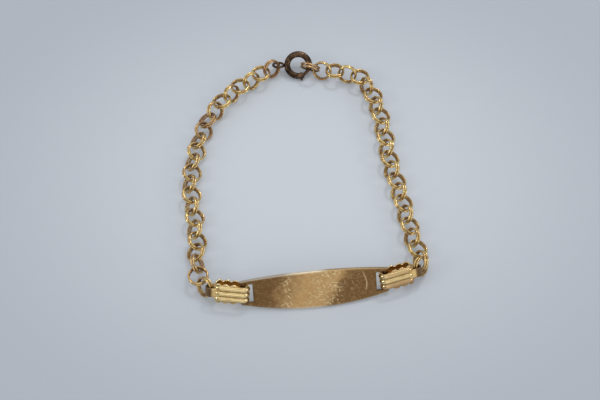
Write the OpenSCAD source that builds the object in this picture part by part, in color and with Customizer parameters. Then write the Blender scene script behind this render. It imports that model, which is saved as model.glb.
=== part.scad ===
// A name bracelet lying closed on a table: a bare plate, two ribbed connectors, two runs of
// paired-ring chain and a spring ring clasp. Lengths are in millimetres, angles in degrees.
// X runs along the plate, +Y points from the plate to the clasp, +Z is up.

/* [Plate] */
// Length of the plate, end to end
plate_len = 29.6; // [26:0.2:33]
// Width of the plate at its middle
plate_w = 7.9; // [6.8:0.1:9]
// Width of the plate at its ends
plate_end_w = 5; // [4.9:0.1:6]
// Thickness of the plate
plate_t = 0.75; // [0.6:0.05:0.9]
// How far the plate's middle bows out past its ends
plate_bow = 1.3; // [0.8:0.1:2.2]
// Width of the bar left beyond each slot
bar_w = 0.9; // [0.7:0.05:1.1]
// Width of each slot, along the plate
slot_w = 1.6; // [1.5:0.05:1.8]
// Width of the metal beside each end of a slot
slot_rail = 0.7; // [0.5:0.05:0.75]
// Radius of a slot's corners
slot_corner = 0.15; // [0.05:0.05:0.2]

/* [Connectors] */
// Distance between the two eyes of a connector
strap_len = 6.2; // [5.8:0.1:6.8]
// Width of a connector's ribbed strap
strap_w = 3.4; // [3.1:0.05:3.6]
// Thickness of the strap
strap_t = 0.35; // [0.3:0.05:0.4]
// Width of the tongue that curls round the chain's first pair
tongue_w = 1.9; // [1.6:0.1:2.1]
// Number of ribs along a strap
rib_count = 3; // [2:1:4]
// Height of a rib over the strap
rib_rise = 0.25; // [0.15:0.05:0.35]
// Number of scallops along each side of a strap
lobe_count = 3; // [2:1:4]
// Radius of a scallop
lobe_r = 1; // [0.7:0.05:1.1]
// How far a scallop stands out from the strap's side
lobe_out = 0.4; // [0.2:0.05:0.5]
// Clear space between a bar and the eye round it
bar_play = 0.11; // [0.08:0.01:0.15]
// Clear space between the strap's shoulder and the rings in the tongue
shoulder_play = 0.15; // [0.1:0.05:0.3]

/* [Chain] */
// Outside diameter of a ring
ring_d = 4.2; // [4.1:0.02:4.3]
// Diameter of a ring's wire
wire_d = 0.44; // [0.4:0.02:0.48]
// Clear space between the two rings of a pair
pair_gap = 0.12; // [0.1:0.01:0.16]
// Distance from one pair to the next
pitch = 2.82; // [2.78:0.01:2.86]
// Outside diameter of the two rings that the clasp hooks
hook_ring_d = 4.5; // [4.4:0.1:4.9]

/* [Clasp] */
// Outside diameter of the spring ring
clasp_d = 6.2; // [5.8:0.1:7]
// Diameter of the spring ring's tube
tube_d = 1.36; // [1.2:0.02:1.5]
// Diameter of the tongue that closes the spring ring
tongue_d = 0.72; // [0.6:0.02:0.8]
// Clear space round the tongue inside the tube
tongue_play = 0.06; // [0.03:0.01:0.1]
// Width of the thumb tab
tab_w = 0.6; // [0.4:0.05:0.8]
// Thickness of the thumb tab
tab_t = 0.4; // [0.3:0.05:0.5]
// How far the thumb tab stands out of the tube
tab_out = 0.45; // [0.3:0.05:0.8]
// Outside diameter of the eyelet soldered to the spring ring
eyelet_d = 2.86; // [2.7:0.05:3.2]
// Diameter of the eyelet's wire
eyelet_wire_d = 0.56; // [0.5:0.02:0.64]

/* [Lie on the table] */
// Lean of the plate from lying flat
plate_lean = 55; // [45:1:65]
// Turn of the plate in plan
plate_turn = 6.3; // [3:0.1:9]
// Skew of each connector on its bar
connector_skew = 7; // [4:0.5:8]
// Lean of the clasp from lying flat
clasp_lean = 28; // [15:1:40]

/* [Hidden] */
$fn = 48;
FINE = 180;
OVER = 0.1;

// Plan place of the loop's middle, which becomes the origin
middle = [0.6, 5.53];

// Plate: plan place of the middle of its ends, and the radii of its bow and long edges
plate_at = [2.9, -22.1];
plate_z = plate_w / 2 * sin(plate_lean) - (plate_bow - plate_t / 2) * cos(plate_lean);
half_len = plate_len / 2;
bow_r = (pow(half_len, 2) + pow(plate_bow, 2)) / (2 * plate_bow);
edge_in = (plate_w - plate_end_w) / 2;
edge_r = (pow(half_len, 2) + pow(edge_in, 2)) / (2 * edge_in);
function edge_at(x) = sqrt(pow(edge_r, 2) - pow(x, 2)) - edge_r + plate_w / 2;
function bow_at(x) = sqrt(pow(bow_r, 2) - pow(x, 2)) - bow_r + plate_bow;
slot_x = half_len - bar_w - slot_w / 2;
slot_l = 2 * (edge_at(slot_x + slot_w / 2) - slot_rail);
bar_x = half_len - bar_w / 2;

// Connector: its eyes clear the corner of the sloping bar that it lies askew on, its ribs are
// rods sunk into the strap, and it turns on the bar until it lies level
bar_slope = asin(bar_x / bow_r);
bar_corner = [bar_w / 2 + strap_w / 2 * tan(connector_skew),
              plate_t / 2 / cos(bar_slope) + bar_w / 2 * tan(bar_slope)];
eye_r = norm(bar_corner) + bar_play;
fold_r = eye_r + strap_t;
rib_step = strap_w / rib_count;
rib_groove = 0.02;
rib_r = (rib_step - rib_groove) / 2;
rib_at = fold_r + rib_rise - rib_r;
connector_turn = asin(tan(connector_skew) * tan(plate_lean));

// Chain: radii to the middle of the wire, and half the spacing of a pair
wire_r = wire_d / 2;
ring_r = ring_d / 2 - wire_r;
hook_ring_r = hook_ring_d / 2 - wire_r;
pair_half = (wire_d + pair_gap) / 2;
// A ring bends away inside the tongue's eye, so it sits half that bend nearer
tongue_bend = ring_r - sqrt(pow(ring_r, 2) - pow(tongue_w / 2, 2));
// Turn of the first pair of each run round the tongue, left and right
FIRST_TURN = [39, 36];
// How far out in the eye its wires lie, and how near the bar they come there
first_out = 0.15;
first_back = pair_half * sin(FIRST_TURN[0]) + wire_r
    - (tongue_bend / 2 + first_out) * cos(FIRST_TURN[0]);
shoulder_x = strap_len - first_back - shoulder_play - fold_r - rib_rise;
// The scallops run from beside the bar to the strap's end
lobe_clear = 0.4;
lobe_from = bar_w / 2 + lobe_clear;
lobe_step = (shoulder_x + fold_r - lobe_from) / lobe_count;
// Angle between the planes of neighbouring pairs, and how far each lies off the middle line
splay = 78;
sway = 0.15;
// Least space under a resting pair
rest_gap = 0.02;

// Clasp: radii, and angles round the ring from +X, turning towards +Y
tube_r = tube_d / 2;
clasp_r = clasp_d / 2 - tube_r;
bore_r = tongue_d / 2 + tongue_play;
tab_tip = clasp_r + tube_r + tab_out;
eyelet_wire_r = eyelet_wire_d / 2;
eyelet_r = eyelet_d / 2 - eyelet_wire_r;
eyelet_sunk = 0.15;
eyelet_x = clasp_r + tube_r - eyelet_sunk + eyelet_wire_r + eyelet_r;
eyelet_roll = 35;
gap_from = -62;
gap_to = -25;
tip_in = 4;
travel = gap_to + tip_in - gap_from;
tab_angle = -77;
tail_angle = -146;
slot_spare = 1;
clasp_at = [-0.4, 34.3];
clasp_gap = 0.05;
clasp_z = max(clasp_r * sin(clasp_lean) + tube_r,
              tab_tip * sin(clasp_lean) + tab_t / 2 * cos(clasp_lean)) + clasp_gap;

// Routes of the two runs, from the connector to the clasp: chosen points in plan, height over
// the table there, and roll of the chain, 90 where its pairs lean evenly to both sides
LEFT_ROUTE = [
    // x, y, lift, roll
    [-20.4, -18.9, 0.1, 55],
    [-20.9, -15.1, 0.4, 80],
    [-20.9, -12.0, 0.1, 95],
    [-22.0, -3.8, 0, 105],
    [-22.9, 2.4, 0, 105],
    [-22.5, 8.0, 0, 100],
    [-21.6, 13.5, 0, 95],
    [-20.0, 18.6, 0, 85],
    [-17.5, 23.0, 0.2, 70],
    [-14.5, 26.6, 0.2, 60],
    [-10.3, 30.1, 0.1, 58]];
RIGHT_ROUTE = [
    // x, y, lift, roll
    [24.9, -17.6, 0.5, 115],
    [24.2, -15.1, 0, 110],
    [22.9, -10.2, 0, 105],
    [21.8, -5.0, 0, 105],
    [20.5, 1.5, 0, 105],
    [18.9, 8.5, 0, 105],
    [17.9, 16.0, 0, 105],
    [17.0, 21.3, 0.1, 108],
    [15.2, 27.1, 0, 118],
    [13.1, 30.5, 0.1, 122],
    [9.9, 31.8, 0.1, 118]];
// The last left pair's distance and direction from the eyelet
left_reach = 1.9;
left_reach_angle = 220;
// The hooked pair's angle on the clasp, and how far it lies out of and over the tube
hook_angle = -14;
hook_out = 0.3;
hook_up = 0.9;
// The pair before it: plan distance and direction from the hooked pair, and its tilt
near_reach = 2.7;
near_reach_angle = -14;
near_tilt = -0.6;

// Vectors of the leaning frames, in the table's frame
function lean(v, a) = [v[0], v[1] * cos(a) - v[2] * sin(a), v[1] * sin(a) + v[2] * cos(a)];
function turn(v, a) = [v[0] * cos(a) - v[1] * sin(a), v[0] * sin(a) + v[1] * cos(a), v[2]];
function unit(v) = v / norm(v);
function from_plate(v) = turn(lean(v, plate_lean), plate_turn);
function on_plate(v) = from_plate(v) + [plate_at[0], plate_at[1], plate_z];
function from_clasp(v) = lean(v, clasp_lean);
function on_clasp(v) = from_clasp(v) + [clasp_at[0], clasp_at[1], clasp_z];

// A connector's directions, side is -1 for the left one and 1 for the right one
function along(side) = from_plate([side * cos(connector_skew) * cos(connector_turn),
    sin(connector_skew), -cos(connector_skew) * sin(connector_turn)]);
function outward(side) = from_plate([side * sin(connector_turn), 0, cos(connector_turn)]);
function bar_centre(side) = on_plate([side * bar_x, 0, bow_at(bar_x)]);

// Moves the loop's middle to the origin
module placed() {
    translate([-middle[0], -middle[1], 0]) children();
}

// Stands the plate's own frame on the table
module stand_plate() {
    translate([plate_at[0], plate_at[1], plate_z])
        rotate([0, 0, plate_turn]) rotate([plate_lean, 0, 0]) children();
}

// Two long arcs cut off square at the ends
module plate_outline() {
    intersection() {
        translate([0, plate_w / 2 - edge_r]) circle(r = edge_r, $fn = FINE);
        translate([0, edge_r - plate_w / 2]) circle(r = edge_r, $fn = FINE);
        square([plate_len, plate_w + OVER], center = true);
    }
}

// A slot with round corners
module slot_outline() {
    square([slot_w - 2 * slot_corner, slot_l], center = true);
    square([slot_w, slot_l - 2 * slot_corner], center = true);
    for (x = [-1, 1], y = [-1, 1])
        translate([x * (slot_w / 2 - slot_corner), y * (slot_l / 2 - slot_corner)])
            circle(r = slot_corner);
}

// A sheet bent round a cylinder, cut to the outline and slotted at both ends
module plate_shape() {
    deep = 4 * plate_w;
    difference() {
        intersection() {
            linear_extrude(height = deep, center = true) plate_outline();
            translate([0, 0, plate_bow - bow_r]) rotate([90, 0, 0]) difference() {
                cylinder(r = bow_r + plate_t / 2, h = deep, center = true, $fn = FINE);
                cylinder(r = bow_r - plate_t / 2, h = deep + OVER, center = true, $fn = FINE);
            }
        }
        for (side = [-1, 1]) translate([side * slot_x, 0, 0])
            linear_extrude(height = deep, center = true) slot_outline();
    }
}

module plate() {
    color("#9c7a4a") placed() stand_plate() plate_shape();
}

// An oval band seen from its side, r round its two eyes, the far one at distance l
module band(w, l, r) {
    rotate([90, 0, 0]) linear_extrude(height = w, center = true) {
        circle(r = r);
        translate([l, 0]) circle(r = r);
        translate([0, -r]) square([l, 2 * r]);
    }
}

// One round rib that runs right round the strap
module rib() {
    for (end = [0, 1]) translate([end * shoulder_x, 0, 0]) rotate([90, 180 * end - 90, 0])
        rotate_extrude(angle = 180) translate([rib_at, 0]) circle(r = rib_r, $fn = 32);
    for (face = [-1, 1]) translate([0, 0, face * rib_at]) rotate([0, 90, 0])
        cylinder(r = rib_r, h = shoulder_x, $fn = 32);
}

// Scallops along both sides of the strap's upper and lower sheets, bent down with its far end
module lobes() {
    intersection() {
        for (k = [0:lobe_count - 1], side = [-1, 1], face = [-1, 1])
            translate([lobe_from + (k + 0.5) * lobe_step,
                       side * (strap_w / 2 + lobe_out - lobe_r),
                       face * (eye_r + strap_t / 2)])
                cylinder(r = lobe_r, h = strap_t + OVER, center = true);
        band(strap_w + 2 * lobe_out + OVER, shoulder_x, fold_r);
    }
}

// A connector in its own frame: X from the bar to the chain, Y across, Z out of its face
module connector_shape() {
    difference() {
        union() {
            band(strap_w, shoulder_x, fold_r);
            band(tongue_w, strap_len, fold_r);
            lobes();
            for (k = [0:rib_count - 1])
                translate([0, (k - (rib_count - 1) / 2) * rib_step, 0]) rib();
        }
        band(strap_w + 2 * lobe_out + OVER, shoulder_x, eye_r);
        band(tongue_w + OVER, strap_len, eye_r);
    }
}

// Puts a connector's frame on the plate's right bar
module on_bar() {
    translate([bar_x, 0, bow_at(bar_x)]) rotate([0, connector_turn, 0])
        rotate([0, 0, connector_skew]) children();
}

module connector_left() {
    color("#d8b468") placed() stand_plate() mirror([1, 0, 0]) on_bar() connector_shape();
}

module connector_right() {
    color("#d8b468") placed() stand_plate() on_bar() connector_shape();
}

// One ring, its axis along direction d
module ring(at, d, r, wire) {
    translate(at) rotate([0, acos(d[2]), atan2(d[1], d[0])])
        rotate_extrude() translate([r, 0]) circle(r = wire, $fn = 24);
}

// Two rings side by side on one axis, p is [place, axis]
module ring_pair(p, r) {
    for (side = [-1, 1]) ring(p[0] + p[1] * side * pair_half, p[1], r, wire_r);
}

// A smooth curve through the rows of a route, every column alike
SAMPLES = 12;
function spline(a, b, c, d, t) = 0.5 * (2 * b + (c - a) * t
    + (2 * a - 5 * b + 4 * c - d) * pow(t, 2) + (3 * b - a - 3 * c + d) * pow(t, 3));
function smooth(p) = [for (i = [0:len(p) - 2], k = [0:SAMPLES - 1])
    spline(p[max(i - 1, 0)], p[i], p[i + 1], p[min(i + 2, len(p) - 1)], k / SAMPLES),
    p[len(p) - 1]];
// Distance run at each point of a curve, and one column as a table over it
function leg(q, i) = norm([for (c = [0:2]) q[i][c] - q[i - 1][c]]);
function run(q) = [for (i = 0, s = 0; i < len(q);
    i = i + 1, s = i < len(q) ? s + leg(q, i) : s) s];
function column(q, s, c) = [for (i = [0:len(q) - 1]) [s[i], q[i][c]]];

// Height of a resting pair whose axis rises by this much, and that of pairs on an even roll
function rest_z(rise) = ring_r * sqrt(1 - pow(rise, 2)) + wire_r + pair_half * abs(rise);
level_z = rest_z(cos(splay / 2));

// Pairs along a route from the first to the last, which are given as [place, axis]. Even ones
// lean one way and odd ones the other, spare is 1 where both ends lean alike and 0 elsewhere.
function laid(route, first, last, spare) = let (
        end = route[len(route) - 1],
        head = [first[0][0], first[0][1], first[0][2] - level_z, route[0][3]],
        tail = [last[0][0], last[0][1], last[0][2] - level_z, end[3]],
        q = smooth(concat([head], route, [tail])),
        s = run(q),
        x = column(q, s, 0),
        y = column(q, s, 1),
        lift = column(q, s, 2),
        roll = column(q, s, 3),
        total = s[len(s) - 1],
        count = 2 * round((total / pitch + 1 - spare) / 2) + spare,
        step = total / (count - 1),
        near = step / 4)
    concat([first], [for (i = [1:count - 2]) let (
        a = i * step,
        hand = i % 2 ? 1 : -1,
        dir = unit([lookup(a + near, x) - lookup(a - near, x),
                    lookup(a + near, y) - lookup(a - near, y), 0]),
        side = [dir[1], -dir[0], 0],
        angle = lookup(a, roll) + hand * splay / 2,
        other = lookup(a, roll) - hand * splay / 2,
        up = max(rest_z(sin(angle)), rest_z(sin(other))) + lookup(a, lift) + rest_gap)
        [[lookup(a, x), lookup(a, y), up] - side * hand * sway,
         side * cos(angle) + [0, 0, sin(angle)]]], [last]);

// The pair in a connector's tongue, turned about the tongue's eye
function first_pair(side, a) = let (
        out = outward(side),
        dir = along(side) * cos(a) - out * sin(a))
    [bar_centre(side) + along(side) * strap_len + dir * (ring_r - tongue_bend / 2 + first_out),
     out * cos(a) + along(side) * sin(a)];

// The pair in the clasp's eyelet
eyelet_at = on_clasp([-eyelet_x, 0, 0]);
eyelet_axis = from_clasp([0, cos(eyelet_roll), sin(eyelet_roll)]);
reach_dir = [cos(left_reach_angle), sin(left_reach_angle), 0];
left_last_axis = unit(cross(eyelet_axis, reach_dir));
left_last_plan = eyelet_at + reach_dir * left_reach;
left_last = [[left_last_plan[0], left_last_plan[1], rest_z(left_last_axis[2])], left_last_axis];

// The pair that the clasp hooks, and the pair before it
hook_pair = [on_clasp([(clasp_r + hook_out) * cos(hook_angle),
                       (clasp_r + hook_out) * sin(hook_angle), hook_up]),
             from_clasp([-sin(hook_angle), cos(hook_angle), 0])];
near_dir = [cos(near_reach_angle), sin(near_reach_angle), 0];
near_axis = unit(unit(cross(near_dir, hook_pair[1])) + near_tilt * hook_pair[1]);
near_plan = hook_pair[0] + near_dir * near_reach;
right_last = [[near_plan[0], near_plan[1], rest_z(near_axis[2])], near_axis];

LEFT_PAIRS = laid(LEFT_ROUTE, first_pair(-1, FIRST_TURN[0]), left_last, 1);
RIGHT_PAIRS = laid(RIGHT_ROUTE, first_pair(1, FIRST_TURN[1]), right_last, 0);

module chain_left() {
    color("#c8a864") placed() for (p = LEFT_PAIRS) ring_pair(p, ring_r);
}

module chain_right() {
    color("#c8a864") placed() {
        for (p = RIGHT_PAIRS) ring_pair(p, ring_r);
        ring_pair(hook_pair, hook_ring_r);
    }
}

// Puts the clasp's own frame on the table: Z along the spring ring's axis
module stand_clasp() {
    translate([clasp_at[0], clasp_at[1], clasp_z]) rotate([clasp_lean, 0, 0]) children();
}

// A stretch of the spring ring between two angles, of the shape given round its middle
module arc(from, to) {
    rotate([0, 0, from]) rotate_extrude(angle = to - from) translate([clasp_r, 0]) children();
}

module clasp_ring() {
    tab_half = asin(tab_w / 2 / clasp_r) + slot_spare;
    color("#4a3a2a") placed() stand_clasp() difference() {
        union() {
            rotate_extrude() translate([clasp_r, 0]) circle(r = tube_r);
            translate([-eyelet_x, 0, 0]) rotate([eyelet_roll - 90, 0, 0])
                rotate_extrude() translate([eyelet_r, 0]) circle(r = eyelet_wire_r);
        }
        arc(gap_from, gap_to) square(2 * tube_r + OVER, center = true);
        arc(tail_angle - travel - 2 * slot_spare, gap_to + tip_in + 2 * slot_spare)
            circle(r = bore_r);
        arc(tab_angle - travel - tab_half, tab_angle + tab_half)
            translate([0, -tab_t / 2 - tongue_play])
                square([tube_r + OVER, tab_t + 2 * tongue_play]);
    }
}

module clasp_lever() {
    color("#7a5038") placed() stand_clasp() {
        arc(tail_angle, gap_to + tip_in) circle(r = tongue_d / 2);
        rotate([0, 0, tab_angle]) {
            translate([clasp_r, -tab_w / 2, -tab_t / 2])
                cube([tab_tip - tab_w / 2 - clasp_r, tab_w, tab_t]);
            translate([tab_tip - tab_w / 2, 0, 0])
                cylinder(r = tab_w / 2, h = tab_t, center = true);
        }
    }
}

plate();
connector_left();
connector_right();
chain_left();
chain_right();
clasp_ring();
clasp_lever();
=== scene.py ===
"""A name bracelet lying closed on a pale table.

The plate, the connectors and the clasp are modelled in millimetres in their own frames and then
stood on the table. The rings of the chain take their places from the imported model. Sizes are in
millimetres and angles in degrees, as in the part's source, unless a comment says otherwise.
"""

import math

import bmesh
import bpy
import numpy as np
from mathutils import Matrix, Vector


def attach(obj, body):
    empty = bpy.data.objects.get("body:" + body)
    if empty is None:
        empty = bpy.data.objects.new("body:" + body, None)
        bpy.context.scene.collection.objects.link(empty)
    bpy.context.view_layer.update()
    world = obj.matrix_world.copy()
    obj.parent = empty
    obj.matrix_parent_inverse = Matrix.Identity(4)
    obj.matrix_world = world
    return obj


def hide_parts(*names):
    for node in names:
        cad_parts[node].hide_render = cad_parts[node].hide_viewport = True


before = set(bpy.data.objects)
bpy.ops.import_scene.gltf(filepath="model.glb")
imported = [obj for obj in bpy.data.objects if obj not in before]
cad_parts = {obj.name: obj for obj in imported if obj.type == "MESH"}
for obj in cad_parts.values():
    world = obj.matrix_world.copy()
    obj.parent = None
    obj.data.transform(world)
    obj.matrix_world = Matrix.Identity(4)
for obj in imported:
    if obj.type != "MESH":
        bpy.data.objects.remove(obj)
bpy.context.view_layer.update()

MM = 0.001
SEED = 7

# The plate, the bars at its ends and the slots beside them
PLATE_LEN, PLATE_W, PLATE_END_W, PLATE_T, PLATE_BOW = 29.6, 7.9, 5.0, 0.75, 1.3
BAR_W, SLOT_W, SLOT_RAIL = 0.9, 1.6, 0.7

# A connector: its strap and tongue, its ribs, the lobes along its sides, and the room inside it
STRAP_LEN, STRAP_W, STRAP_T, TONGUE_W = 6.2, 3.4, 0.35, 1.9
RIB_COUNT, RIB_RISE, RIB_GROOVE = 3, 0.25, 0.02
LOBE_COUNT, LOBE_R, LOBE_OUT, LOBE_CLEAR = 3, 1.0, 0.4, 0.4
BAR_PLAY, SHOULDER_PLAY = 0.11, 0.15

# The first pair of rings in a connector: how far out it sits, and its turn
FIRST_OUT, FIRST_TURN = 0.15, 39

# The rings of the chain. The pair that hooks into the clasp is wider
RING_D, WIRE_D, PAIR_GAP, HOOK_RING_D = 4.2, 0.44, 0.12, 4.5

# The clasp: its ring, its tongue with the tab, and its eyelet
CLASP_D, TUBE_D, TONGUE_D, TONGUE_PLAY = 6.2, 1.36, 0.72, 0.06
TAB_W, TAB_T, TAB_OUT = 0.6, 0.4, 0.45
EYELET_D, EYELET_WIRE_D, EYELET_SUNK, EYELET_ROLL = 2.86, 0.56, 0.15, 35

# Angles round the clasp: its gap, the tongue's reach into it, the tab, the tongue's tail
GAP_FROM, GAP_TO, TIP_IN, TAB_ANGLE, TAIL_ANGLE, SLOT_SPARE = -62, -25, 4, -77, -146, 1

# Where the parts lie in plan, how they lean and turn, and how high the clasp lies
MIDDLE, PLATE_AT, CLASP_AT = (0.6, 5.53), (2.9, -22.1), (-0.4, 34.3)
PLATE_LEAN, PLATE_TURN, CONNECTOR_SKEW, CLASP_LEAN = 55, 6.3, 7, 28
CLASP_GAP = 0.05

# Rounding of the edges and small insets
PLATE_ROUND, STRAP_ROUND, ROD_ROUND, TAB_ROUND = 0.14, 0.16, 0.12, 0.08
TONGUE_INSET, CUT_SPARE, RIM_W, RIM_FADE = 0.012, 0.3, 0.25, 0.02

# How finely the meshes are divided: the plate's face, slots, bars and rails, then a connector's
# straight sides and bends, then a ring and its wire
FACE_STEPS, SLOT_STEPS, BAR_STEPS, INSIDE_STEPS, RAIL_STEPS = 60, 5, 3, 16, 4
STRAP_STEPS, STRAP_BEND_STEPS, RIB_STEPS, RIB_BEND_STEPS, ROD_SIDES = 40, 18, 8, 24, 20
RING_STEPS, WIRE_SIDES = 40, 12

# Points closer than this become one: in a mesh made here, and in a CAD node, in metres
WELD, NODE_WELD = 1e-5, 1e-7

# Edges sharper than this stay sharp in the shading
CREASE = 35


def sin(a):
    """Sine of an angle in degrees."""
    return math.sin(math.radians(a))


def cos(a):
    """Cosine of an angle in degrees."""
    return math.cos(math.radians(a))


# Plate: the bow and the long edges are arcs
half_len = PLATE_LEN / 2
bow_r = (half_len ** 2 + PLATE_BOW ** 2) / (2 * PLATE_BOW)
edge_in = (PLATE_W - PLATE_END_W) / 2
edge_r = (half_len ** 2 + edge_in ** 2) / (2 * edge_in)
slot_x = half_len - BAR_W - SLOT_W / 2
bar_x = half_len - BAR_W / 2


def edge_at(x):
    """Half the plate's width at a place along it."""
    return math.sqrt(edge_r ** 2 - x ** 2) - edge_r + PLATE_W / 2


def bow_at(x, out=0.0):
    """The height of the bowed plate, or of a layer that lies outside its middle one."""
    return math.sqrt((bow_r + out) ** 2 - x ** 2) - bow_r + PLATE_BOW


slot_l = 2 * (edge_at(slot_x + SLOT_W / 2) - SLOT_RAIL)
plate_z = PLATE_W / 2 * sin(PLATE_LEAN) - (PLATE_BOW - PLATE_T / 2) * cos(PLATE_LEAN)

# Connector: radii round the bar, and where the wide strap ends
skew_slope = sin(CONNECTOR_SKEW) / cos(CONNECTOR_SKEW)
bar_slope = math.asin(bar_x / bow_r)
eye_r = BAR_PLAY + math.hypot(
    BAR_W / 2 + STRAP_W / 2 * skew_slope,
    PLATE_T / 2 / math.cos(bar_slope) + BAR_W / 2 * math.tan(bar_slope))
fold_r = eye_r + STRAP_T
rib_step = STRAP_W / RIB_COUNT
rib_r = (rib_step - RIB_GROOVE) / 2
rib_at = fold_r + RIB_RISE - rib_r
connector_turn = math.degrees(math.asin(skew_slope * sin(PLATE_LEAN) / cos(PLATE_LEAN)))
wire_r = WIRE_D / 2
ring_r = RING_D / 2 - wire_r
hook_ring_r = HOOK_RING_D / 2 - wire_r
pair_half = (WIRE_D + PAIR_GAP) / 2
tongue_bend = ring_r - math.sqrt(ring_r ** 2 - (TONGUE_W / 2) ** 2)
first_back = (pair_half * sin(FIRST_TURN) + wire_r
              - (tongue_bend / 2 + FIRST_OUT) * cos(FIRST_TURN))
shoulder_x = STRAP_LEN - first_back - SHOULDER_PLAY - fold_r - RIB_RISE
lobe_from = BAR_W / 2 + LOBE_CLEAR
lobe_step = (shoulder_x + fold_r - lobe_from) / LOBE_COUNT

# Clasp: radii of its ring, tongue and eyelet
tube_r = TUBE_D / 2
clasp_r = CLASP_D / 2 - tube_r
bore_r = TONGUE_D / 2 + TONGUE_PLAY
tab_tip = clasp_r + tube_r + TAB_OUT
eyelet_wire_r = EYELET_WIRE_D / 2
eyelet_r = EYELET_D / 2 - eyelet_wire_r
eyelet_x = clasp_r + tube_r - EYELET_SUNK + eyelet_wire_r + eyelet_r
travel = GAP_TO + TIP_IN - GAP_FROM
clasp_z = CLASP_GAP + max(clasp_r * sin(CLASP_LEAN) + tube_r,
                          tab_tip * sin(CLASP_LEAN) + TAB_T / 2 * cos(CLASP_LEAN))


def moved(x, y, z=0.0):
    """A move along the three axes."""
    return Matrix.Translation((x, y, z))


def turned(axis, angle):
    """A turn about one axis."""
    return Matrix.Rotation(math.radians(angle), 4, axis)


# How each part goes from its own frame to its place on the table
PLACED = moved(-MIDDLE[0], -MIDDLE[1])
STAND_PLATE = PLACED @ moved(*PLATE_AT, plate_z) @ turned("Z", PLATE_TURN) @ turned("X", PLATE_LEAN)
STAND_CLASP = PLACED @ moved(*CLASP_AT, clasp_z) @ turned("X", CLASP_LEAN)
ON_BAR = (moved(bar_x, 0, bow_at(bar_x)) @ turned("Y", connector_turn)
          @ turned("Z", CONNECTOR_SKEW))
MIRRORED = Matrix.Scale(-1, 4, (1, 0, 0))


# Building node trees

class Tree:
    """Adds nodes to a tree. A value that is a socket is linked, any other is set on its socket."""

    def __init__(self, tree):
        self.tree = tree

    def put(self, socket, value):
        """Links a socket to another, or sets its value."""
        if isinstance(value, bpy.types.NodeSocket):
            self.tree.links.new(value, socket)
        else:
            socket.default_value = value

    def __call__(self, kind, out=0, values=None, **settings):
        """Adds a node, sets it up and gives one of its outputs."""
        node = self.tree.nodes.new(kind)
        for name, value in settings.items():
            setattr(node, name, value)
        for key, value in (values or {}).items():
            self.put(node.inputs[key], value)
        return node.outputs[out] if len(node.outputs) else node

    def math(self, operation, a, b=0.0, c=0.0):
        return self("ShaderNodeMath", values={0: a, 1: b, 2: c}, operation=operation)

    def vector(self, operation, a, b=(0.0, 0.0, 0.0)):
        out = 1 if operation in ("LENGTH", "DOT_PRODUCT", "DISTANCE") else 0
        return self("ShaderNodeVectorMath", out, {0: a, 1: b}, operation=operation)

    def scaled(self, a, scale):
        return self("ShaderNodeVectorMath", 0, {0: a, "Scale": scale}, operation="SCALE")

    def between(self, value, low, high, to_low=0.0, to_high=1.0):
        """Runs from to_low to to_high while value runs from low to high."""
        return self("ShaderNodeMapRange", values={
            "Value": value, "From Min": low, "From Max": high, "To Min": to_low,
            "To Max": to_high}, interpolation_type="SMOOTHSTEP")

    def split(self, place):
        """The three parts of a place."""
        node = self.tree.nodes.new("ShaderNodeSeparateXYZ")
        self.put(node.inputs[0], place)
        return node.outputs[:3]

    def mix(self, share, a, b):
        """Colour a at a share of 0, colour b at 1."""
        node = self.tree.nodes.new("ShaderNodeMix")
        node.data_type = "RGBA"
        self.put(node.inputs[0], share)
        for index, value in ((6, a), (7, b)):
            self.put(node.inputs[index], (*value, 1.0) if isinstance(value, tuple) else value)
        return node.outputs[2]

    def noise(self, place, scale, detail=3.0, rough=0.5):
        return self("ShaderNodeTexNoise", values={
            "Vector": place, "Scale": scale, "Detail": detail, "Roughness": rough})

    def stretched(self, place, angle, sizes, shift=(0.0, 0.0, 0.0)):
        """Turns a place about Z, then stretches it."""
        turn = self("ShaderNodeMapping", values={
            "Vector": place, "Rotation": (0.0, 0.0, math.radians(angle)), "Location": shift})
        return self("ShaderNodeMapping", values={"Vector": turn, "Scale": sizes})

    def lines(self, place, angle, along, across, least, width=0.05, shift=(0.0, 0.0, 0.0)):
        """Fine scratches that run at an angle: 1 on a scratch and 0 beside it."""
        grain = self.noise(self.stretched(place, angle, (along, across, 1.0), shift), 1.0, 2.0)
        return self.between(grain, least, least + width)

    def read(self, name, out):
        """An attribute of the mesh."""
        return self("ShaderNodeAttribute", out, attribute_name=name)


def metal(name, build):
    """A metal whose bareness, colour, roughness and bump are made by build(tree)."""
    material = bpy.data.materials.new(name)
    material.use_nodes = True
    material.node_tree.nodes.clear()
    tree = Tree(material.node_tree)
    bare, colour, roughness, height, strength, depth = build(tree)
    bump = tree("ShaderNodeBump", values={
        "Height": height, "Strength": strength, "Distance": depth * MM})
    shader = tree("ShaderNodeBsdfPrincipled", values={
        "Base Color": colour, "Roughness": roughness, "Metallic": bare, "Normal": bump})
    tree("ShaderNodeOutputMaterial", values={"Surface": shader})
    return material


def geometry_tree(name, sizes):
    """An empty Geometry Nodes tree with named inputs. Gives it and its input node's outputs."""
    tree = bpy.data.node_groups.new(name, "GeometryNodeTree")
    tree.interface.new_socket("Geometry", in_out="INPUT", socket_type="NodeSocketGeometry")
    for label, value in sizes.items():
        kind = "NodeSocketInt" if isinstance(value, int) else "NodeSocketFloat"
        tree.interface.new_socket(label, in_out="INPUT", socket_type=kind)
    tree.interface.new_socket("Geometry", in_out="OUTPUT", socket_type="NodeSocketGeometry")
    return Tree(tree), tree.nodes.new("NodeGroupInput").outputs


# Meshes and pieces

def as_object(name, mesh):
    """An object in the scene for a mesh."""
    obj = bpy.data.objects.new(name, mesh)
    bpy.context.scene.collection.objects.link(obj)
    return obj


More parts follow.
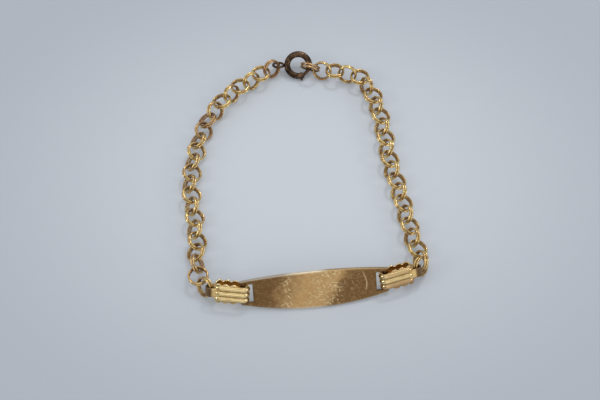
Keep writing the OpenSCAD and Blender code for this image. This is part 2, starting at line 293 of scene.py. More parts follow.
def from_points(name, points, faces=(), edges=()):
    """An object from points, and the faces or edges between them."""
    mesh = bpy.data.meshes.new(name)
    mesh.from_pydata([tuple(p) for p in points], list(edges), list(faces))
    mesh.update()
    return as_object(name, mesh)


def settle(obj):
    """Turns what the modifiers make into the object's own mesh."""
    bpy.context.view_layer.update()
    made = bpy.data.meshes.new_from_object(
        obj.evaluated_get(bpy.context.evaluated_depsgraph_get()))
    obj.modifiers.clear()
    obj.data = made
    return obj


def grown(obj, tree, sizes):
    """Runs a Geometry Nodes tree on an object, with its sizes."""
    modifier = obj.modifiers.new("grow", "NODES")
    modifier.node_group = tree
    for item in tree.interface.items_tree:
        if item.in_out == "INPUT" and item.name in sizes:
            modifier[item.identifier] = sizes[item.name]
    return settle(obj)


def outward(obj):
    """Points every face of a closed mesh outwards."""
    net = bmesh.new()
    net.from_mesh(obj.data)
    bmesh.ops.remove_doubles(net, verts=net.verts, dist=WELD)
    bmesh.ops.recalc_face_normals(net, faces=net.faces)
    net.to_mesh(obj.data)
    net.free()
    return obj


def joined(name, objs):
    """One object from several."""
    net = bmesh.new()
    for obj in objs:
        net.from_mesh(obj.data)
        bpy.data.objects.remove(obj)
    mesh = bpy.data.meshes.new(name)
    net.to_mesh(mesh)
    net.free()
    return as_object(name, mesh)


def combined(obj, other, operation):
    """Cuts another closed mesh out of a closed mesh, or unites the two."""
    modifier = obj.modifiers.new("combine", "BOOLEAN")
    modifier.operation = operation
    modifier.solver = "EXACT"
    modifier.object = other
    settle(obj)
    bpy.data.objects.remove(other)
    return obj


def rounded(obj, width, segments=3, angle=50):
    """Rounds the sharp edges."""
    modifier = obj.modifiers.new("round", "BEVEL")
    modifier.width = width
    modifier.segments = segments
    modifier.limit_method = "ANGLE"
    modifier.angle_limit = math.radians(angle)
    return settle(obj)


def note(obj, name, values):
    """Stores one number or one place for each point of the mesh."""
    values = np.asarray(values, np.float32)
    kind, field = ("FLOAT", "value") if values.ndim == 1 else ("FLOAT_VECTOR", "vector")
    attribute = obj.data.attributes.new(name, kind, "POINT")
    attribute.data.foreach_set(field, values.ravel())


def points_of(mesh):
    """The places of a mesh's points, one row for each."""
    places = np.zeros(3 * len(mesh.vertices), np.float32)
    mesh.vertices.foreach_get("co", places)
    return places.reshape(-1, 3).astype(float)


def piece(obj, node, body, stand=None, material=None):
    """Stands a finished mesh in the bracelet, in metres, in place of its CAD node."""
    mesh = obj.data
    if stand is not None:
        mesh.transform(stand)
        if stand.determinant() < 0:
            mesh.flip_normals()
    mesh.transform(Matrix.Scale(MM, 4))
    if material is not None:
        mesh.materials.clear()
        mesh.materials.append(material)
    mesh.polygons.foreach_set("use_smooth", [True] * len(mesh.polygons))
    mesh.set_sharp_from_angle(angle=math.radians(CREASE))
    mesh.update()
    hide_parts(node)
    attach(obj, body)
    return obj


def smoothstep(x, low, high):
    """Runs gently from 0 to 1 while x runs from low to high."""
    t = np.clip((x - low) / (high - low), 0.0, 1.0)
    return t * t * (3 - 2 * t)


# Finishes

# How far the chain's pattern moves on from one ring to the next
RING_SHIFT = (31.0, 17.0, 5.0)

# The chain: three golds, then red tarnish, the painted shade inside the rings and rubbed metal
YELLOW_GOLD, DEEP_GOLD, BROWN_GOLD = (0.90, 0.68, 0.30), (0.74, 0.53, 0.21), (0.52, 0.33, 0.12)
RED_TARNISH, INNER_SHADE, RUBBED_GOLD = (0.46, 0.25, 0.12), (0.20, 0.095, 0.038), (0.97, 0.83, 0.52)


def chain_metal(tree):
    """Yellow gold, browned inside the rings by painted shade, and red where the run is tarnished."""
    tone, tarnish = tree.read("tone", "Fac"), tree.read("tarnish", "Fac")
    inner = tree.read("inner", "Fac")
    place = tree.vector("ADD", tree.read("place", "Vector"), tree.scaled(RING_SHIFT, tone))
    cloud = tree.noise(place, 0.8, 4.0, 0.6)
    fine = tree.noise(place, 5.0, 3.0, 0.6)
    colour = tree.mix(tone, YELLOW_GOLD, DEEP_GOLD)
    colour = tree.mix(tree.between(cloud, 0.44, 0.64), colour, BROWN_GOLD)
    red = tree.math("ADD", tree.math("MULTIPLY", tarnish, 0.9), tree.between(cloud, 0.54, 0.70))
    colour = tree.mix(tree.math("MINIMUM", red, 1.0), colour, RED_TARNISH)
    # Painted shade: the insides of the rings, which face their middles, go dark brown in patches.
    painted_shade = tree.math("MULTIPLY", tree.between(inner, -0.3, 0.6), tree.between(cloud, 0.3, 0.5))
    colour = tree.mix(tree.math("MULTIPLY", painted_shade, 0.75), colour, INNER_SHADE)
    worn = tree.math("MULTIPLY", tree.between(inner, -0.5, -0.95), tree.between(fine, 0.45, 0.65))
    colour = tree.mix(tree.math("MULTIPLY", worn, 0.7), colour, RUBBED_GOLD)
    rough = tree.math("ADD", tree.between(fine, 0.3, 0.7, 0.16, 0.27),
                      tree.math("MULTIPLY", tarnish, 0.12))
    bare = tree.math("SUBTRACT", 1.0, tree.math("MULTIPLY", painted_shade, 0.45))
    return bare, colour, rough, tree.noise(place, 1.6, 2.0, 0.5), 0.2, 0.05


# The connectors: two golds and the colour of a painted pink reflection, then small pits and the
# painted shade in the grooves
BRIGHT_GOLD, DULL_GOLD, PINK_REFLECTION_GOLD = (1.0, 0.80, 0.41), (0.78, 0.55, 0.22), (0.52, 0.29, 0.15)
PIT_BROWN, GROOVE_SHADE = (0.42, 0.24, 0.10), (0.15, 0.07, 0.032)


def connector_metal(tree):
    """Bright rolled gold, worn along the ribs, browned by painted shade in the grooves, hollow and
    folds, with a painted pink reflection on some ribs.
    """
    place = tree.read("place", "Vector")
    painted_shade = tree.read("painted_shade", "Fac")
    cloud = tree.noise(place, 0.7, 4.0, 0.6)
    fine = tree.noise(tree.stretched(place, 0, (0.5, 3.0, 3.0)), 1.4, 3.0, 0.6)
    colour = tree.mix(tree.between(cloud, 0.46, 0.72), BRIGHT_GOLD, DULL_GOLD)
    pits = tree.between(tree.noise(place, 3.2, 2.0, 0.5), 0.62, 0.72)
    colour = tree.mix(tree.math("MULTIPLY", pits, 0.4), colour, PIT_BROWN)
    # Painted reflection: a pink tint on the outer ribs, strongest on the rib nearest the table.
    colour = tree.mix(tree.read("pink_reflection", "Fac"), colour, PINK_REFLECTION_GOLD)
    # Painted shade browns the grooves, the hollow and the tongue's fold.
    colour = tree.mix(painted_shade, colour, GROOVE_SHADE)
    rough = tree.between(fine, 0.3, 0.7, 0.09, 0.2)
    rough = tree.math("ADD", rough, tree.math("MULTIPLY", painted_shade, 0.2))
    bare = tree.math("SUBTRACT", 1.0, tree.math("MULTIPLY", painted_shade, 0.2))
    return bare, colour, rough, fine, 0.25, 0.03


# The plate: its ends and middle, whose brown and gold are partly tarnish and partly painted
# reflection, the same where they are rubbed, marks on them, and its rim, painted as a highlight
END_BROWN, MIDDLE_GOLD = (0.205, 0.117, 0.050), (0.565, 0.365, 0.175)
END_RUBBED, MIDDLE_RUBBED = (0.34, 0.20, 0.085), (0.74, 0.56, 0.28)
SCRATCH_GOLD, DENT_BROWN = (0.98, 0.80, 0.50), (0.17, 0.095, 0.04)
# The rim's three colours are a painted highlight.
RIM_SHEEN_GREY, RIM_SHEEN_BROWN, RIM_HIGHLIGHT = (0.60, 0.53, 0.43), (0.50, 0.35, 0.18), (1.0, 0.90, 0.70)


def plate_metal(tree):
    """A worn satin face, nicked and scratched: brown at both ends and golden in the middle, partly
    tarnish and partly painted reflection, with a painted highlight along its rim.
    """
    place = tree.read("place", "Vector")
    rim = tree.read("rim", "Fac")
    x, y, _ = tree.split(place)
    cloud = tree.noise(place, 0.33, 5.0, 0.62)
    haze = tree.noise(place, 1.6, 4.0, 0.65)
    slant = tree.math("SUBTRACT", x, tree.math("MULTIPLY", y, 0.45))
    wavy = tree.math("ADD", slant, tree.math("MULTIPLY", tree.math("SUBTRACT", cloud, 0.5), 9.0))
    # The brown ends and golden middle are partly tarnish and partly painted reflection of the light
    # on the bowed face.
    middle = tree.math("MULTIPLY", tree.between(wavy, -9.0, -2.5), tree.between(wavy, 6.6, 3.0))
    colour = tree.mix(middle, END_BROWN, MIDDLE_GOLD)
    colour = tree.mix(tree.math("MULTIPLY", tree.between(haze, 0.42, 0.7), 0.45), colour,
                      tree.mix(middle, END_RUBBED, MIDDLE_RUBBED))

    def near(value, at, wide):
        """1 close to a value, down to 0 at a distance of wide."""
        off = tree.math("ABSOLUTE", tree.math("SUBTRACT", value, at))
        return tree.between(off, wide, wide * 0.35)

    nicks = tree.math("MAXIMUM", tree.lines(place, 52, 1.1, 5.2, 0.61),
                      tree.lines(place, -38, 0.9, 5.6, 0.63, shift=(3.0, 7.0, 0.0)))
    nicks = tree.math("MAXIMUM", nicks,
                      tree.lines(place, 12, 0.8, 6.0, 0.64, shift=(9.0, 2.0, 0.0)))
    # The nicks crowd together in two places, left and right of the middle
    crowd = tree.math("MAXIMUM", near(x, -5.6, 1.8), near(x, 2.2, 4.6))
    nicks = tree.math("MULTIPLY", nicks, tree.math("ADD", 0.25, tree.math("MULTIPLY", crowd, 0.75)))
    # One long scratch curves across the right end
    long_one = tree.math("SUBTRACT", x, tree.math("ADD", 10.3, tree.math(
        "MULTIPLY", tree.math("MULTIPLY", y, y), -0.12)))
    scratch = tree.math("MULTIPLY", near(long_one, 0.0, 0.16), near(y, 0.6, 2.6))
    marks = tree.math("MINIMUM", tree.math("ADD", nicks, tree.math("MULTIPLY", scratch, 0.6)), 1.0)
    colour = tree.mix(tree.math("MULTIPLY", marks, 0.85), colour, SCRATCH_GOLD)
    dents = tree.between(tree.noise(place, 1.1, 3.0, 0.6), 0.60, 0.72)
    colour = tree.mix(tree.math("MULTIPLY", dents, 0.5), colour, DENT_BROWN)
    # Painted highlight along the rim: pale grey on the left, brown on the right, brightest a little
    # left of the middle.
    edge = tree.mix(tree.between(x, -3.0, 3.0), RIM_SHEEN_GREY, RIM_SHEEN_BROWN)
    edge = tree.mix(near(x, -1.7, 5.0), edge, RIM_HIGHLIGHT)
    colour = tree.mix(rim, colour, edge)
    rough = tree.between(haze, 0.3, 0.7, 0.26, 0.42)
    height = tree.math("SUBTRACT", tree.math("MULTIPLY", haze, 0.6), marks)
    return 1.0, colour, rough, height, 0.35, 0.03


# The clasp: two browns and the pink metal under them
CLASP_DARK, CLASP_BROWN = (0.045, 0.028, 0.016), (0.15, 0.088, 0.052)
CLASP_PINK = (0.58, 0.37, 0.24)


def clasp_metal(tree):
    """Gold gone dark brown, with a little pink metal showing through."""
    place = tree.read("place", "Vector")
    cloud = tree.noise(place, 0.6, 4.0, 0.6)
    fine = tree.noise(place, 3.0, 3.0, 0.6)
    colour = tree.mix(tree.between(cloud, 0.38, 0.66), CLASP_DARK, CLASP_BROWN)
    shown = tree.between(tree.noise(place, 1.5, 3.0, 0.6), 0.60, 0.74)
    colour = tree.mix(tree.math("MULTIPLY", shown, 0.6), colour, CLASP_PINK)
    return 0.9, colour, tree.between(fine, 0.3, 0.7, 0.15, 0.32), fine, 0.3, 0.04


# The plate

def plate_sheet():
    """The plate in its own frame: rows across it at every place along it, with two slots."""
    slot_in, slot_out, half = slot_x - SLOT_W / 2, slot_x + SLOT_W / 2, slot_l / 2
    right = np.concatenate([np.linspace(slot_in, slot_out, SLOT_STEPS + 1)[1:],
                            np.linspace(slot_out, half_len, BAR_STEPS + 1)[1:]])
    xs = np.concatenate([-right[::-1], np.linspace(-slot_in, slot_in, FACE_STEPS + 1), right])
    inside = np.linspace(-1, 1, INSIDE_STEPS + 1) * half
    rail = np.linspace(0, 1, RAIL_STEPS + 1)[1:]
    rows = []
    for x in xs:
        outside = half + (edge_at(x) - half) * rail
        rows.append(np.concatenate([-outside[::-1], inside, outside]))
    wide = len(rows[0])
    top = [(x, y, bow_at(x, PLATE_T / 2)) for x, ys in zip(xs, rows) for y in ys]
    bottom = [(x, y, bow_at(x, -PLATE_T / 2)) for x, ys in zip(xs, rows) for y in ys]
    faces = []
    for i in range(len(xs) - 1):
        for j in range(wide - 1):
            x, y = (xs[i] + xs[i + 1]) / 2, (rows[i][j] + rows[i][j + 1]) / 2
            if slot_in < abs(x) < slot_out and abs(y) < half:
                continue
            a = i * wide + j
            faces.append((a, a + wide, a + wide + 1, a + 1))
    # An edge that only one face has belongs to the outline or to a slot, and gets a wall
    edges = {}
    for face in faces:
        for a, b in zip(face, face[1:] + face[:1]):
            if (b, a) in edges:
                del edges[(b, a)]
            else:
                edges[(a, b)] = True
    count = len(top)
    under = [tuple(count + a for a in reversed(face)) for face in faces]
    walls = [(b, a, count + a, count + b) for a, b in edges]
    return from_points("plate", top + bottom, faces + under + walls)


def make_plate():
    """The plate, with its rim marked for the finish."""
    obj = rounded(outward(plate_sheet()), PLATE_ROUND)
    local = points_of(obj.data)
    note(obj, "place", local)
    edge = np.array([edge_at(min(abs(x), half_len)) for x in local[:, 0]])
    note(obj, "rim", smoothstep(np.abs(local[:, 1]) - edge, -RIM_W, -RIM_FADE))
    return piece(obj, "plate", "bracelet", STAND_PLATE,
                 metal("satin_plate", plate_metal))


# The connectors

def oval_stations(length, straight, bend):
    """Places round an oval with eyes at 0 and length: the middle each one turns about, its angle."""
    steps = [(length * k / straight, -90) for k in range(straight)]
    steps += [(length, -90 + 180 * k / bend) for k in range(bend)]
    steps += [(length * (1 - k / straight), 90) for k in range(straight)]
    steps += [(0.0, 90 + 180 * k / bend) for k in range(bend)]
    return steps


def band_section(half, inner, outer, corner, across=10, bends=5):
    """A strip's section: places across it and radii, with round corners."""
    flat = half - corner
    first, last = range(bends), range(1, bends + 1)

    def bend(y, radius, start, steps):
        angles = [start - 90 * k / bends for k in steps]
        return [(y + corner * cos(a), radius + corner * sin(a)) for a in angles]

    points = [(y, outer) for y in np.linspace(-flat, flat, across)]
    points += bend(flat, outer - corner, 90, last)
    points += bend(flat, inner + corner, 0, first)
    points += [(y, inner) for y in np.linspace(flat, -flat, across)]
    points += bend(-flat, inner + corner, -90, last)
    points += bend(-flat, outer - corner, 180, first)
    return points


def band(name, length, width, inner, outer, scallops):
    """A strip round an oval. Its half width at each place is given by scallops(x)."""
    points, faces = [], []
    stations = oval_stations(length, STRAP_STEPS, STRAP_BEND_STEPS)
    for middle, angle in stations:
        half = scallops(middle + outer * cos(angle), width / 2)
        section = band_section(half, inner, outer, STRAP_ROUND)
        for y, radius in section:
            points.append((middle + radius * cos(angle), y, radius * sin(angle)))
    wide, count = len(section), len(stations)
    for i in range(count):
        for j in range(wide):
            a, b = i * wide + j, i * wide + (j + 1) % wide
            c = ((i + 1) % count) * wide
            faces.append((a, b, c + (j + 1) % wide, c + j))
    return outward(from_points(name, points, faces))


def scalloped(x, half):
    """Half the strap's width at a place along it, with its lobes."""
    out = 0.0
    for k in range(LOBE_COUNT):
        far = abs(x - (lobe_from + (k + 0.5) * lobe_step))
        if far < LOBE_R:
            out = max(out, math.sqrt(LOBE_R ** 2 - far ** 2) - (LOBE_R - LOBE_OUT))
    return half + out


def straight_sided(x, half):
    """Half the tongue's width, which is the same all along."""
    return half


RIB_SIZES = {"Length": shoulder_x, "Rib radius": rib_r, "Rib place": rib_at,
             "Sunk to": eye_r + STRAP_T / 2, "Step": rib_step, "Ribs": RIB_COUNT}


def rib_tree(material):
    """Lays ribs side by side round a connector. It takes the oval that they follow."""
    tree, given = geometry_tree("connector_ribs", RIB_SIZES)
    path = tree("GeometryNodeMeshToCurve", values={"Mesh": given["Geometry"]})
    path = tree("GeometryNodeSetCurveNormal", values={"Curve": path}, mode="Z_UP")
    rod = tree("GeometryNodeCurvePrimitiveCircle", values={
        "Resolution": ROD_SIDES, "Radius": given["Rib radius"]})
    rod = tree("GeometryNodeCurveToMesh", values={"Curve": path, "Profile Curve": rod})
    place = tree("GeometryNodeInputPosition")
    x, _, z = tree.split(place)
    spine = tree("ShaderNodeCombineXYZ", values={
        0: tree.math("MINIMUM", tree.math("MAXIMUM", x, 0.0), given["Length"]), 1: 0.0, 2: z})
    arm = tree.vector("SUBTRACT", place, spine)
    far = tree.vector("LENGTH", arm)
    kept = tree.vector("ADD", spine, tree.scaled(arm, tree.math(
        "DIVIDE", tree.math("MAXIMUM", far, given["Sunk to"]), far)))
    rod = tree("GeometryNodeSetPosition", values={"Geometry": rod, "Position": kept})
    first = tree.math("MULTIPLY", given["Step"], tree.math(
        "MULTIPLY", tree.math("SUBTRACT", given["Ribs"], 1.0), -0.5))
    row = tree("GeometryNodeMeshLine", values={
        "Count": given["Ribs"],
        "Start Location": tree("ShaderNodeCombineXYZ", values={2: first}),
        "Offset": tree("ShaderNodeCombineXYZ", values={2: given["Step"]})})
    ribs = tree("GeometryNodeInstanceOnPoints", values={"Points": row, "Instance": rod})
    ribs = tree("GeometryNodeRealizeInstances", values={"Geometry": ribs})
    ribs = tree("GeometryNodeSetMaterial", values={
        "Geometry": ribs, "Material": material})
    tree("NodeGroupOutput", values={0: ribs})
    return tree.tree


# How strong the painted pink reflection is on each rib of a connector, from the table upwards
RIB_PINK_REFLECTION = {"left": (0.2, 0.0, 0.1), "right": (0.75, 0.0, 0.35)}

# How deep the painted shade is: on a connector's sides, between its ribs, in its hollow, and along
# the tongue and in its fold
SIDE_DEPTH, GROOVE_DEPTH, HOLLOW_DEPTH, TONGUE_DEPTH, FOLD_DEPTH = 0.12, 0.8, 0.1, 0.15, 0.9


def painted_shade_on(local, tongue):
    """How deep the painted shade is at each point of a connector. tongue is the slice of its points.
    """
    x, y, z = local.T
    rise = np.hypot(x - np.clip(x, 0, shoulder_x), z) - fold_r
    shade_depth = 1 - smoothstep(rise, -0.05, 0.1)
    shade_depth *= np.where(np.abs(y) > STRAP_W / 2 - 0.05, SIDE_DEPTH, GROOVE_DEPTH)
    shade_depth = np.where(rise < -0.1, HOLLOW_DEPTH, shade_depth)
    shoulder = shoulder_x + fold_r
    shade_depth[tongue] = TONGUE_DEPTH + (FOLD_DEPTH - TONGUE_DEPTH) * smoothstep(
        x[tongue], shoulder + 0.1, shoulder + 0.6)
    return shade_depth


def make_connector(side, tree, material, stand):
    """One connector. side is left or right."""
    name = "connector_" + side
    strap = band(name + "_strap", shoulder_x, STRAP_W, eye_r, fold_r, scalloped)
    tongue = band(name + "_tongue", STRAP_LEN, TONGUE_W, eye_r + TONGUE_INSET,
                  fold_r - TONGUE_INSET, straight_sided)
    oval = [(m + rib_at * cos(a), rib_at * sin(a), 0.0)
            for m, a in oval_stations(shoulder_x, RIB_STEPS, RIB_BEND_STEPS)]
    edges = [(k, (k + 1) % len(oval)) for k in range(len(oval))]
    ribs = grown(from_points(name + "_ribs", oval, edges=edges), tree, RIB_SIZES)
    ribs.data.transform(turned("X", 90))
    outward(ribs)
    first = len(strap.data.vertices)
    last = first + len(tongue.data.vertices)
    obj = joined(name, [strap, tongue, ribs])
    local = points_of(obj.data)
    ribs_at = [rib_step * (k - (RIB_COUNT - 1) / 2) for k in range(RIB_COUNT)]
    note(obj, "place", local)
    note(obj, "painted_shade", painted_shade_on(local, slice(first, last)))
    note(obj, "pink_reflection", np.interp(local[:, 1], ribs_at, RIB_PINK_REFLECTION[side]))
    return piece(obj, name, "bracelet", stand, material)


# The chain

def rings_in(node):
    """Middle, axis and radius of every ring of a chain's CAD node, in millimetres."""
    net = bmesh.new()
    net.from_mesh(node.data)
    bmesh.ops.remove_doubles(net, verts=net.verts, dist=NODE_WELD)
    seen, rings = set(), []
    for start in net.verts:
        if start in seen:
            continue
        seen.add(start)
        island, front = [], [start]
        while front:
            point = front.pop()
            island.append(point.co)
            for edge in point.link_edges:
                other = edge.other_vert(point)
                if other not in seen:
                    seen.add(other)
                    front.append(other)
        places = np.array(island) / MM
        middle = places.mean(0)
        arms = places - middle
        axis = np.linalg.eigh(arms.T @ arms)[1][:, 0]
        across = np.linalg.norm(arms - np.outer(arms @ axis, axis), axis=1)
        rings.append((middle, axis * (1 if axis[2] >= 0 else -1), across.mean()))
    net.free()
    return rings


RING_SIZES = {"Ring radius": ring_r, "Hook ring radius": hook_ring_r, "Wire radius": wire_r,
              "Unevenness": 0.02, "Seed": SEED}


def ring_tree(material):
    """Puts a wire ring at every point, its axis along the point's own."""
    tree, given = geometry_tree("chain_rings", RING_SIZES)
    place = tree("GeometryNodeInputPosition")
    normal = tree("GeometryNodeInputNormal")

    def wire_ring(radius):
        """A flat ring whose points note their place and how far they face its middle."""
        path = tree("GeometryNodeCurvePrimitiveCircle", values={
            "Resolution": RING_STEPS, "Radius": radius})
        wire = tree("GeometryNodeCurvePrimitiveCircle", values={
            "Resolution": WIRE_SIDES, "Radius": given["Wire radius"]})
        ring = tree("GeometryNodeCurveToMesh", values={"Curve": path, "Profile Curve": wire})
        towards = tree.vector("NORMALIZE", tree.vector("MULTIPLY", place, (-1.0, -1.0, 0.0)))
        ring = tree("GeometryNodeStoreNamedAttribute", values={
            "Geometry": ring, "Name": "inner", "Value": tree.vector(
                "DOT_PRODUCT", towards, normal)}, data_type="FLOAT", domain="POINT")
        return tree("GeometryNodeStoreNamedAttribute", values={
            "Geometry": ring, "Name": "place", "Value": place},
            data_type="FLOAT_VECTOR", domain="POINT")

    hooked = tree("GeometryNodeInputNamedAttribute", values={"Name": "hooked"},
                  data_type="BOOLEAN")
    axis = tree("GeometryNodeInputNamedAttribute", values={"Name": "axis"},
                data_type="FLOAT_VECTOR")
    facing = tree("FunctionNodeAlignRotationToVector", values={"Vector": axis}, axis="Z")
    spin = tree("FunctionNodeRandomValue", 1, {
        2: 0.0, 3: 2 * math.pi, "Seed": given["Seed"]}, data_type="FLOAT")
    about = tree("FunctionNodeAxisAngleToRotation", values={
        "Axis": (0.0, 0.0, 1.0), "Angle": spin})
    facing = tree("FunctionNodeRotateRotation", values={
        "Rotation": facing, "Rotate By": about}, rotation_space="LOCAL")
    both = tree.tree.nodes.new("GeometryNodeJoinGeometry")
    for radius, chosen in (("Ring radius", tree("FunctionNodeBooleanMath", values={0: hooked},
                                                operation="NOT")),
                           ("Hook ring radius", hooked)):
        made = tree("GeometryNodeInstanceOnPoints", values={
            "Points": given["Geometry"], "Selection": chosen,
            "Instance": wire_ring(given[radius]), "Rotation": facing})
        tree.put(both.inputs[0], made)
    rings = tree("GeometryNodeRealizeInstances", values={"Geometry": both.outputs[0]})
    bumps = tree.noise(place, 0.9, 1.0)
    push = tree.math("MULTIPLY", tree.math("SUBTRACT", bumps, 0.5), given["Unevenness"])
    rings = tree("GeometryNodeSetPosition", values={
        "Geometry": rings, "Offset": tree.scaled(normal, push)})
    rings = tree("GeometryNodeSetShadeSmooth", values={"Geometry": rings})
    rings = tree("GeometryNodeSetMaterial", values={
        "Geometry": rings, "Material": material})
    tree("NodeGroupOutput", values={0: rings})
    return tree.tree


# Tarnished places of the chain: plan place, how far it reaches, how deep it is
TARNISH = [(-19.9, 12.4, 5.0, 0.8), (-5.5, 27.5, 3.5, 0.9), (2.0, 27.0, 3.4, 0.75),
           (-22.3, 1.0, 4.0, 0.35), (-22.0, -22.5, 5.0, 0.5), (17.5, 20.0, 4.0, 0.4)]


def tarnish_at(place):
    """How red the chain is at a place."""
    return max(depth * (1 - smoothstep(math.hypot(place[0] - x, place[1] - y), 0.3 * far, far))
               for x, y, far, depth in TARNISH)


def make_chain(side, tree, tones):
    """One run of the chain. Each ring has its own tone, from yellow at 0 to brown at 1."""
    name = "chain_" + side
    rings = rings_in(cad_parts[name])
    obj = from_points(name + "_links", [middle for middle, axis, radius in rings])
    note(obj, "axis", [axis for middle, axis, radius in rings])
    note(obj, "tone", [tones.uniform(0.0, 1.0) for ring in rings])
    note(obj, "tarnish", [tarnish_at(middle) for middle, axis, radius in rings])
    attribute = obj.data.attributes.new("hooked", "BOOLEAN", "POINT")
    attribute.data.foreach_set("value", [bool(radius > (ring_r + hook_ring_r) / 2)
                                         for middle, axis, radius in rings])
    grown(obj, tree, RING_SIZES)
    return piece(obj, name, "bracelet")


# The clasp

def disc_section(radius, count):
    """A round section of count points."""
    return [(radius * cos(360 * k / count), radius * sin(360 * k / count))
            for k in range(count)]


def box_section(near, far, low, high):
    """A four-cornered section between two distances from the path and two heights."""
    return [(near, low), (far, low), (far, high), (near, high)]


def arc(name, section, start, end, steps, radius=clasp_r):
    """A section swept round the Z axis between two angles. A full turn closes on itself."""
    full = end - start >= 360
    count = steps if full else steps + 1
    wide = len(section)
    points, faces = [], []
    for i in range(count):
        a = start + (end - start) * i / steps
        for out, up in section:
            points.append(((radius + out) * cos(a), (radius + out) * sin(a), up))
    for i in range(steps):
        for j in range(wide):
            k = (j + 1) % wide
            a, b = i * wide, ((i + 1) % count) * wide
            faces.append((a + j, a + k, b + k, b + j))
    if not full:
        faces.append(tuple(range(wide)))
        faces.append(tuple(range((count - 1) * wide, count * wide)))
    return outward(from_points(name, points, faces))


def make_clasp_ring(material):
    """The tube with its eyelet, cut open for the gap, the bore and the tab's slot."""
    tube = arc("clasp_ring", disc_section(tube_r, 32), 0, 360, steps=96)
    eyelet = arc("eyelet", disc_section(eyelet_wire_r, 20), 0, 360, steps=48, radius=eyelet_r)
    eyelet.data.transform(moved(-eyelet_x, 0) @ turned("X", EYELET_ROLL - 90))
    combined(tube, eyelet, "UNION")
    tab_half = math.degrees(math.asin(TAB_W / 2 / clasp_r)) + SLOT_SPARE
    reach = tube_r + CUT_SPARE
    half_slot = TAB_T / 2 + TONGUE_PLAY
    gap = arc("gap", box_section(-reach, reach, -reach, reach), GAP_FROM, GAP_TO, steps=12)
    combined(tube, gap, "DIFFERENCE")
    bore = arc("bore", disc_section(bore_r, 24), TAIL_ANGLE - travel - 2 * SLOT_SPARE,
               GAP_TO + TIP_IN + 2 * SLOT_SPARE, steps=60)
    combined(tube, bore, "DIFFERENCE")
    slot = arc("slot", box_section(0, reach, -half_slot, half_slot),
               TAB_ANGLE - travel - tab_half, TAB_ANGLE + tab_half, steps=24)
    combined(tube, slot, "DIFFERENCE")
    note(tube, "place", points_of(tube.data))
    return piece(tube, "clasp_ring", "bracelet", STAND_CLASP, material)


def make_clasp_lever(material):
    """The curved tongue, with its thumb tab standing out through the slot."""
    rod = arc("clasp_lever", disc_section(TONGUE_D / 2, 20), TAIL_ANGLE, GAP_TO + TIP_IN, steps=48)
    rounded(rod, ROD_ROUND, angle=60)
    outline = [(clasp_r, -TAB_W / 2)]
    outline += [(tab_tip - TAB_W / 2 + TAB_W / 2 * cos(a), TAB_W / 2 * sin(a))
                for a in range(-90, 91, 15)]
    outline += [(clasp_r, TAB_W / 2)]
    count = len(outline)
    points = [(x, y, z) for z in (-TAB_T / 2, TAB_T / 2) for x, y in outline]
    faces = [tuple(range(count)), tuple(range(count, 2 * count))]
    faces += [(k, (k + 1) % count, count + (k + 1) % count, count + k) for k in range(count)]
    tab = rounded(outward(from_points("tab", points, faces)), TAB_ROUND)
    tab.data.transform(turned("Z", TAB_ANGLE))
    obj = joined("clasp_lever", [rod, tab])
    note(obj, "place", points_of(obj.data))
    return piece(obj, "clasp_lever", "lever", STAND_CLASP, material)


# The bracelet, piece by piece

make_plate()
bright = metal("bright_connectors", connector_metal)
ribs = rib_tree(bright)
make_connector("left", ribs, bright, STAND_PLATE @ MIRRORED @ ON_BAR)
make_connector("right", ribs, bright, STAND_PLATE @ ON_BAR)
links = ring_tree(metal("worn_chain", chain_metal))
make_chain("left", links, np.random.default_rng(SEED))
make_chain("right", links, np.random.default_rng(SEED + 1))
browned = metal("brown_clasp", clasp_metal)
make_clasp_ring(browned)
make_clasp_lever(browned)


# Table, light and camera

# Half the table's width, in metres, and its colours: two near the bracelet and one far away, where
# painted shade darkens it
TABLE_HALF = 2.5
TABLE_PALE, TABLE_PALER = (0.504, 0.545, 0.601), (0.518, 0.558, 0.614)
TABLE_SHADED_FAR = (0.378, 0.416, 0.472)

# The surroundings: low and high, the warm patch in front on the right, and how strong they are
SKY_LOW, SKY_HIGH, SKY_PATCH = (0.17, 0.13, 0.10), (1.0, 1.0, 1.0), (1.45, 1.35, 1.15)
SKY_STRENGTH = 0.57

# Soft lights that all face the middle: name, place and size in metres, power in watts
LIGHTS = [("overhead", (-0.05, 0.15, 0.6), (0.5, 0.4), 0.42),
          ("front", (0.05, -0.55, 0.4), (0.5, 0.25), 0.24),
          ("left", (-0.5, -0.15, 0.3), (0.14, 0.14), 0.42),
          ("right", (0.5, -0.15, 0.3), (0.14, 0.14), 0.34),
          ("window", (0.12, 0.3, 0.45), (0.07, 0.07), 0.4)]

# The camera: its lens and sensor, then in metres the nearest thing that it sees, the point that it
# looks at and its distance from it, and last its angle above the table
LENS, SENSOR = 84, 36
CLIP_START, AIM, CAMERA_FAR = 0.001, (-0.0006, -0.00553, 0.0), 0.292
CAMERA_RISE = 57


def plain_table():
    """A pale bluish table, darkened by painted shade away from the middle, and glowing a little as
    painted light.
    """
    corners = [(x * TABLE_HALF, y * TABLE_HALF, 0) for x, y in ((-1, -1), (1, -1), (1, 1), (-1, 1))]
    obj = from_points("table", corners, [(0, 1, 2, 3)])
    material = bpy.data.materials.new("pale_table")
    material.use_nodes = True
    tree = Tree(material.node_tree)
    shader = material.node_tree.nodes["Principled BSDF"]
    place = tree("ShaderNodeTexCoord", "Object")
    far = tree.vector("LENGTH", tree.vector("MULTIPLY", place, (1.0, 1.25, 0.0)))
    cloud = tree.noise(place, 30.0, 3.0)
    pale = tree.mix(cloud, TABLE_PALE, TABLE_PALER)
    # Painted shade: the table darkens away from the middle.
    pale = tree.mix(tree.between(far, 0.01, 0.085), pale, TABLE_SHADED_FAR)
    # The table glows with its own colour: painted light that lifts the shadows on it.
    for name in ("Base Color", "Emission Color"):
        tree.put(shader.inputs[name], pale)
    shader.inputs["Emission Strength"].default_value = 0.2
    shader.inputs["Roughness"].default_value = 0.6
    obj.data.materials.append(material)


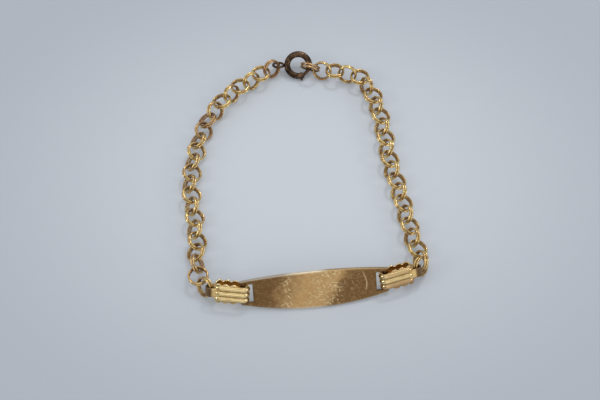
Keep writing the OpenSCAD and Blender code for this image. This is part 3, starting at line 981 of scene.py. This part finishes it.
def sky():
    """Bright overhead and behind, dim low in front but for a warm patch."""
    world = bpy.data.worlds.new("studio")
    world.use_nodes = True
    tree = Tree(world.node_tree)
    x, y, z = tree.split(tree("ShaderNodeTexCoord", "Generated"))
    lit = tree.between(tree.math("ADD", z, tree.math("MULTIPLY", y, 0.2)), 0.03, 0.5)
    colour = tree.mix(lit, SKY_LOW, SKY_HIGH)
    aside = tree.math("DIVIDE", tree.math("SUBTRACT", x, 0.3), 0.9)
    above = tree.math("DIVIDE", tree.math("SUBTRACT", z, 0.225), 0.3)
    far = tree.math("SQRT", tree.math("ADD", tree.math("MULTIPLY", aside, aside),
                                      tree.math("MULTIPLY", above, above)))
    patch = tree.math("MULTIPLY", tree.between(far, 1.0, 0.45), tree.between(y, 0.0, -0.3))
    colour = tree.mix(patch, colour, SKY_PATCH)
    shader = world.node_tree.nodes["Background"]
    tree.put(shader.inputs["Color"], colour)
    shader.inputs["Strength"].default_value = SKY_STRENGTH
    bpy.context.scene.world = world


def soft_light(name, place, size, power):
    """A rectangular light that faces the middle of the bracelet."""
    light = bpy.data.lights.new(name, "AREA")
    light.shape = "RECTANGLE"
    light.size, light.size_y = size
    light.energy = power
    obj = bpy.data.objects.new(name, light)
    bpy.context.scene.collection.objects.link(obj)
    obj.location = place
    obj.rotation_euler = (-Vector(place)).to_track_quat("-Z", "Y").to_euler()


def camera():
    """The camera, at the photograph's viewing angle."""
    data = bpy.data.cameras.new("camera")
    data.lens, data.sensor_width, data.clip_start = LENS, SENSOR, CLIP_START
    obj = bpy.data.objects.new("camera", data)
    bpy.context.scene.collection.objects.link(obj)
    aim = Vector(AIM)
    back, up = CAMERA_FAR * cos(CAMERA_RISE), CAMERA_FAR * sin(CAMERA_RISE)
    obj.location = aim + Vector((0, -back, up))
    obj.rotation_euler = (aim - obj.location).to_track_quat("-Z", "Y").to_euler()
    bpy.context.scene.camera = obj


plain_table()
sky()
for light in LIGHTS:
    soft_light(*light)
camera()
bpy.context.scene.view_settings.view_transform = "Standard"
